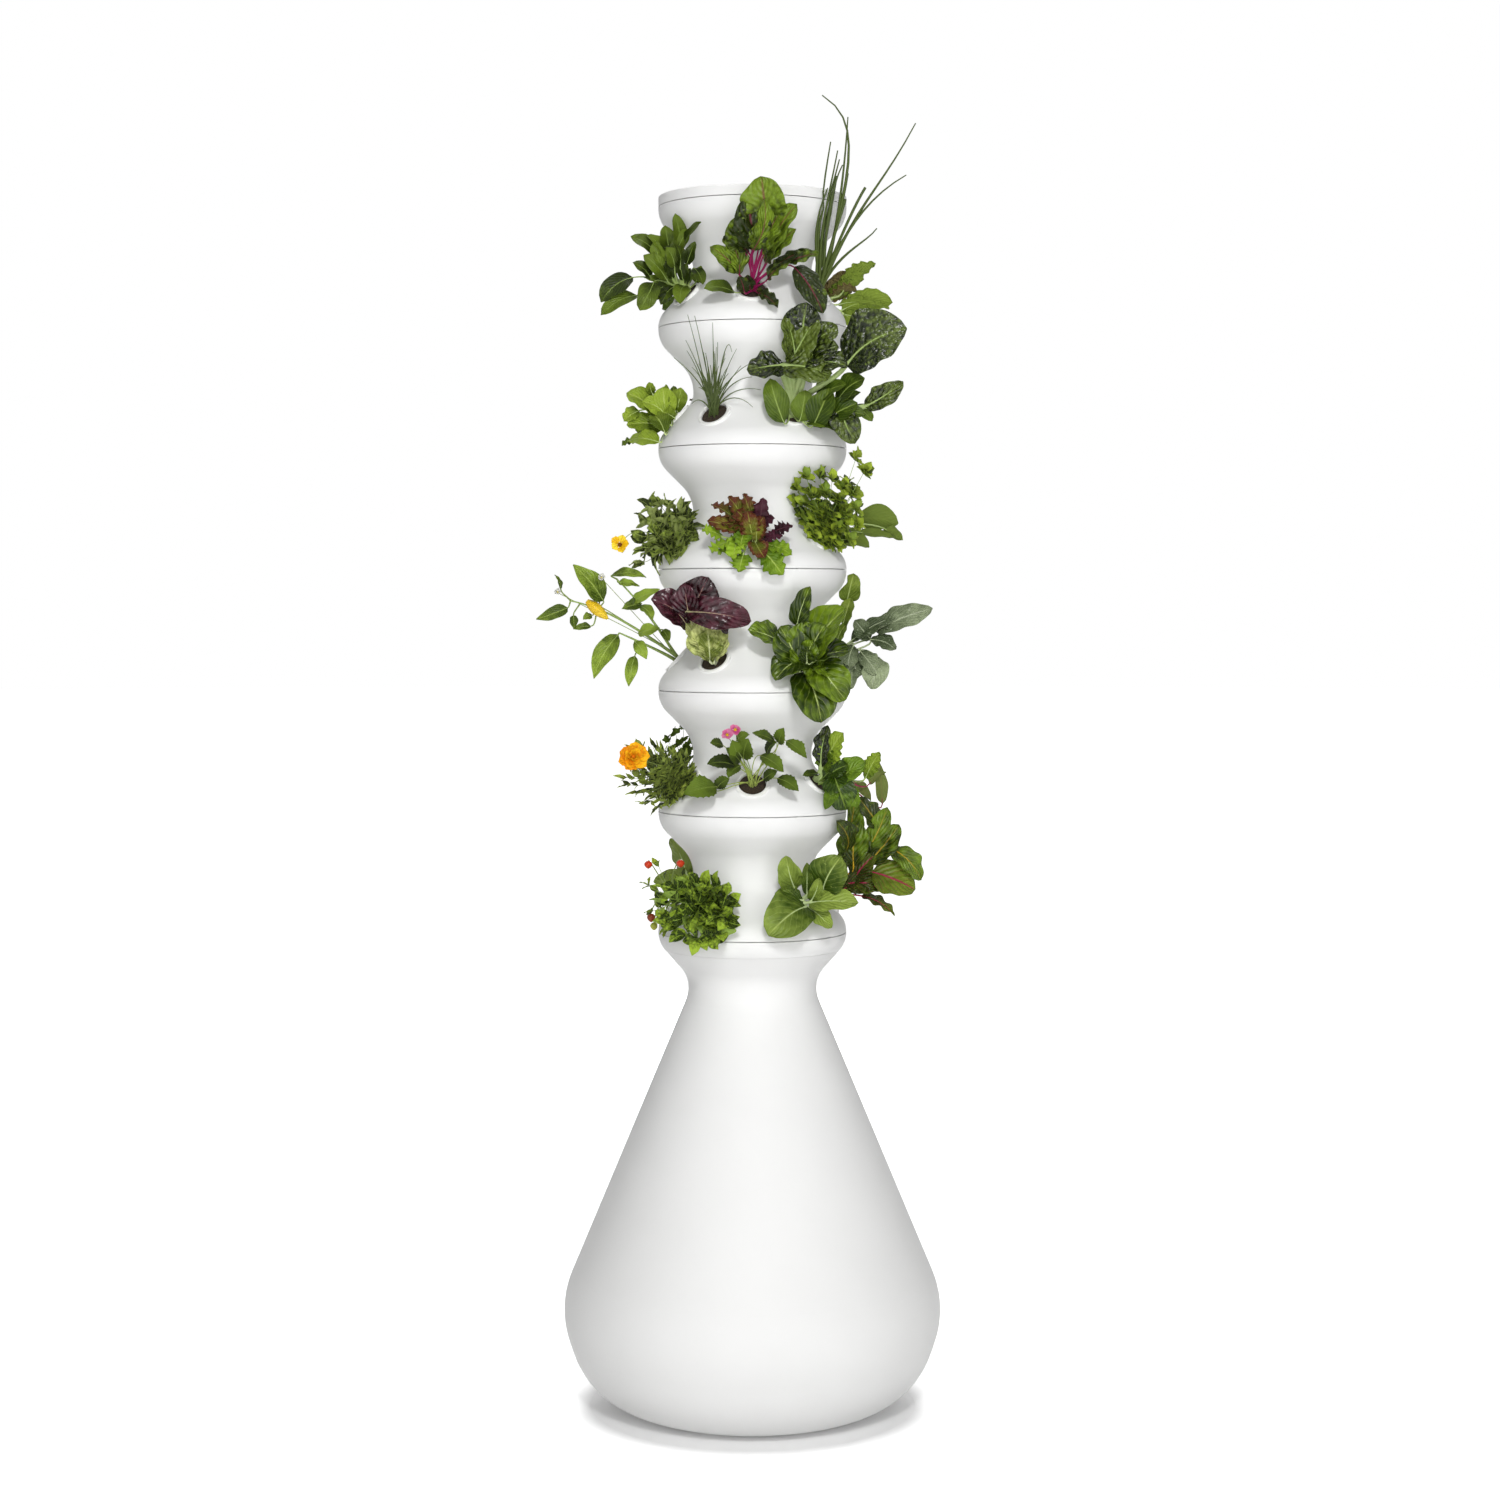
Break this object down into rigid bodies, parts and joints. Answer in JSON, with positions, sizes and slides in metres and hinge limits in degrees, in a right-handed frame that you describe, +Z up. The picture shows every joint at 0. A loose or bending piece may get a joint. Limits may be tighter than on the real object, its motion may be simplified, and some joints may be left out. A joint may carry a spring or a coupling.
{
  "type": "hydroponic tower",
  "caption": "Free-standing planter tower: hourglass grow rings with slanted planted cups turn on a bottle-shaped reservoir whose pump feeds a drip head under the lid.",
  "frame": {"origin": "on the floor, at the tower's axis, at the middle of the reservoir's flat foot", "axes": "+Z up along the tower's axis, -Y towards the front (the pictured side), +X to the right"},
  "size_m": [0.6418, 0.6079, 2.0824],
  "materials": {
    "white_plastic": "satin",
    "inner_plastic": "matte",
    "glide_acetal": "satin",
    "pump_plastic": "matte",
    "rotor_magnet": "satin",
    "shaft_ceramic": "polished",
    "soft_rubber": "matte",
    "plant_green": "matte"
  },
  "bodies": {
    "base": {"reservoir_base": "white_plastic", "base_collar": "white_plastic", "glide_ring": "glide_acetal", "drip_head": "inner_plastic", "riser_foot_pipe": "inner_plastic", "riser_sections": "inner_plastic", "pump_adapter": "inner_plastic", "pump_housing": "pump_plastic", "pump_cover": "pump_plastic", "inlet_strainer": "pump_plastic", "pump_shaft": "shaft_ceramic", "pump_feet": "soft_rubber", "cable_grommet": "soft_rubber"},
    "tower": {"grow_ring_1": "white_plastic", "grow_ring_2": "white_plastic", "grow_ring_3": "white_plastic", "grow_ring_4": "white_plastic", "grow_ring_5": "white_plastic", "grow_ring_6": "white_plastic", "drip_trays": "inner_plastic"},
    "lid": {"lid": "white_plastic"},
    "fill_cap": {"fill_cap": "inner_plastic", "fill_cap_seal": "soft_rubber"},
    "rotor": {"pump_rotor": "rotor_magnet"},
    "cup_1a": {"planted_cup_1a": "plant_green"},
    "cup_1b": {"planted_cup_1b": "plant_green"},
    "cup_1c": {"planted_cup_1c": "plant_green"},
    "cup_1d": {"planted_cup_1d": "plant_green"},
    "cup_1e": {"planted_cup_1e": "plant_green"},
    "cup_1f": {"planted_cup_1f": "plant_green"},
    "cup_2a": {"planted_cup_2a": "plant_green"},
    "cup_2b": {"planted_cup_2b": "plant_green"},
    "cup_2c": {"planted_cup_2c": "plant_green"},
    "cup_2d": {"planted_cup_2d": "plant_green"},
    "cup_2e": {"planted_cup_2e": "plant_green"},
    "cup_2f": {"planted_cup_2f": "plant_green"},
    "cup_3a": {"planted_cup_3a": "plant_green"},
    "cup_3b": {"planted_cup_3b": "plant_green"},
    "cup_3c": {"planted_cup_3c": "plant_green"},
    "cup_3d": {"planted_cup_3d": "plant_green"},
    "cup_3e": {"planted_cup_3e": "plant_green"},
    "cup_3f": {"planted_cup_3f": "plant_green"},
    "cup_4a": {"planted_cup_4a": "plant_green"},
    "cup_4b": {"planted_cup_4b": "plant_green"},
    "cup_4c": {"planted_cup_4c": "plant_green"},
    "cup_4d": {"planted_cup_4d": "plant_green"},
    "cup_4e": {"planted_cup_4e": "plant_green"},
    "cup_4f": {"planted_cup_4f": "plant_green"},
    "cup_5a": {"planted_cup_5a": "plant_green"},
    "cup_5b": {"planted_cup_5b": "plant_green"},
    "cup_5c": {"planted_cup_5c": "plant_green"},
    "cup_5d": {"planted_cup_5d": "plant_green"},
    "cup_5e": {"planted_cup_5e": "plant_green"},
    "cup_5f": {"planted_cup_5f": "plant_green"},
    "cup_6a": {"planted_cup_6a": "plant_green"},
    "cup_6b": {"planted_cup_6b": "plant_green"},
    "cup_6c": {"planted_cup_6c": "plant_green"},
    "cup_6d": {"planted_cup_6d": "plant_green"},
    "cup_6e": {"planted_cup_6e": "plant_green"},
    "cup_6f": {"planted_cup_6f": "plant_green"}
  },
  "joints": [
    {"name": "tower_turn", "type": "hinge", "parent": "base", "child": "tower", "pos_m": [0, 0, 0], "axis": [0, 0, 1], "continuous": true},
    {"name": "lid_lift", "type": "slide", "parent": "tower", "child": "lid", "axis": [0, 0, 1], "range_m": [0, 0.15]},
    {"name": "fill_cap_pull", "type": "slide", "parent": "base", "child": "fill_cap", "axis": [0, 0.9221, 0.3869], "range_m": [0, 0.06]},
    {"name": "impeller_spin", "type": "hinge", "parent": "base", "child": "rotor", "pos_m": [0, 0, 0.0435], "axis": [0, 1, 0], "continuous": true},
    {"name": "cup_1a_pull", "type": "slide", "parent": "tower", "child": "cup_1a", "axis": [0, -0.7325, 0.6807], "range_m": [0, 0.075]},
    {"name": "cup_1b_pull", "type": "slide", "parent": "tower", "child": "cup_1b", "axis": [0.6344, -0.3663, 0.6807], "range_m": [0, 0.075]},
    {"name": "cup_1c_pull", "type": "slide", "parent": "tower", "child": "cup_1c", "axis": [0.6344, 0.3663, 0.6807], "range_m": [0, 0.075]},
    {"name": "cup_1d_pull", "type": "slide", "parent": "tower", "child": "cup_1d", "axis": [0, 0.7325, 0.6807], "range_m": [0, 0.075]},
    {"name": "cup_1e_pull", "type": "slide", "parent": "tower", "child": "cup_1e", "axis": [-0.6344, 0.3663, 0.6807], "range_m": [0, 0.075]},
    {"name": "cup_1f_pull", "type": "slide", "parent": "tower", "child": "cup_1f", "axis": [-0.6344, -0.3663, 0.6807], "range_m": [0, 0.075]},
    {"name": "cup_2a_pull", "type": "slide", "parent": "tower", "child": "cup_2a", "axis": [0.3663, -0.6344, 0.6807], "range_m": [0, 0.075]},
    {"name": "cup_2b_pull", "type": "slide", "parent": "tower", "child": "cup_2b", "axis": [0.7325, 0, 0.6807], "range_m": [0, 0.075]},
    {"name": "cup_2c_pull", "type": "slide", "parent": "tower", "child": "cup_2c", "axis": [0.3663, 0.6344, 0.6807], "range_m": [0, 0.075]},
    {"name": "cup_2d_pull", "type": "slide", "parent": "tower", "child": "cup_2d", "axis": [-0.3663, 0.6344, 0.6807], "range_m": [0, 0.075]},
    {"name": "cup_2e_pull", "type": "slide", "parent": "tower", "child": "cup_2e", "axis": [-0.7325, 0, 0.6807], "range_m": [0, 0.075]},
    {"name": "cup_2f_pull", "type": "slide", "parent": "tower", "child": "cup_2f", "axis": [-0.3663, -0.6344, 0.6807], "range_m": [0, 0.075]},
    {"name": "cup_3a_pull", "type": "slide", "parent": "tower", "child": "cup_3a", "axis": [0, -0.7325, 0.6807], "range_m": [0, 0.075]},
    {"name": "cup_3b_pull", "type": "slide", "parent": "tower", "child": "cup_3b", "axis": [0.6344, -0.3663, 0.6807], "range_m": [0, 0.075]},
    {"name": "cup_3c_pull", "type": "slide", "parent": "tower", "child": "cup_3c", "axis": [0.6344, 0.3663, 0.6807], "range_m": [0, 0.075]},
    {"name": "cup_3d_pull", "type": "slide", "parent": "tower", "child": "cup_3d", "axis": [0, 0.7325, 0.6807], "range_m": [0, 0.075]},
    {"name": "cup_3e_pull", "type": "slide", "parent": "tower", "child": "cup_3e", "axis": [-0.6344, 0.3663, 0.6807], "range_m": [0, 0.075]},
    {"name": "cup_3f_pull", "type": "slide", "parent": "tower", "child": "cup_3f", "axis": [-0.6344, -0.3663, 0.6807], "range_m": [0, 0.075]},
    {"name": "cup_4a_pull", "type": "slide", "parent": "tower", "child": "cup_4a", "axis": [0.3663, -0.6344, 0.6807], "range_m": [0, 0.075]},
    {"name": "cup_4b_pull", "type": "slide", "parent": "tower", "child": "cup_4b", "axis": [0.7325, 0, 0.6807], "range_m": [0, 0.075]},
    {"name": "cup_4c_pull", "type": "slide", "parent": "tower", "child": "cup_4c", "axis": [0.3663, 0.6344, 0.6807], "range_m": [0, 0.075]},
    {"name": "cup_4d_pull", "type": "slide", "parent": "tower", "child": "cup_4d", "axis": [-0.3663, 0.6344, 0.6807], "range_m": [0, 0.075]},
    {"name": "cup_4e_pull", "type": "slide", "parent": "tower", "child": "cup_4e", "axis": [-0.7325, 0, 0.6807], "range_m": [0, 0.075]},
    {"name": "cup_4f_pull", "type": "slide", "parent": "tower", "child": "cup_4f", "axis": [-0.3663, -0.6344, 0.6807], "range_m": [0, 0.075]},
    {"name": "cup_5a_pull", "type": "slide", "parent": "tower", "child": "cup_5a", "axis": [0, -0.7325, 0.6807], "range_m": [0, 0.075]},
    {"name": "cup_5b_pull", "type": "slide", "parent": "tower", "child": "cup_5b", "axis": [0.6344, -0.3663, 0.6807], "range_m": [0, 0.075]},
    {"name": "cup_5c_pull", "type": "slide", "parent": "tower", "child": "cup_5c", "axis": [0.6344, 0.3663, 0.6807], "range_m": [0, 0.075]},
    {"name": "cup_5d_pull", "type": "slide", "parent": "tower", "child": "cup_5d", "axis": [0, 0.7325, 0.6807], "range_m": [0, 0.075]},
    {"name": "cup_5e_pull", "type": "slide", "parent": "tower", "child": "cup_5e", "axis": [-0.6344, 0.3663, 0.6807], "range_m": [0, 0.075]},
    {"name": "cup_5f_pull", "type": "slide", "parent": "tower", "child": "cup_5f", "axis": [-0.6344, -0.3663, 0.6807], "range_m": [0, 0.075]},
    {"name": "cup_6a_pull", "type": "slide", "parent": "tower", "child": "cup_6a", "axis": [0.3663, -0.6344, 0.6807], "range_m": [0, 0.075]},
    {"name": "cup_6b_pull", "type": "slide", "parent": "tower", "child": "cup_6b", "axis": [0.7325, 0, 0.6807], "range_m": [0, 0.075]},
    {"name": "cup_6c_pull", "type": "slide", "parent": "tower", "child": "cup_6c", "axis": [0.3663, 0.6344, 0.6807], "range_m": [0, 0.075]},
    {"name": "cup_6d_pull", "type": "slide", "parent": "tower", "child": "cup_6d", "axis": [-0.3663, 0.6344, 0.6807], "range_m": [0, 0.075]},
    {"name": "cup_6e_pull", "type": "slide", "parent": "tower", "child": "cup_6e", "axis": [-0.7325, 0, 0.6807], "range_m": [0, 0.075]},
    {"name": "cup_6f_pull", "type": "slide", "parent": "tower", "child": "cup_6f", "axis": [-0.3663, -0.6344, 0.6807], "range_m": [0, 0.075]}
  ]
}
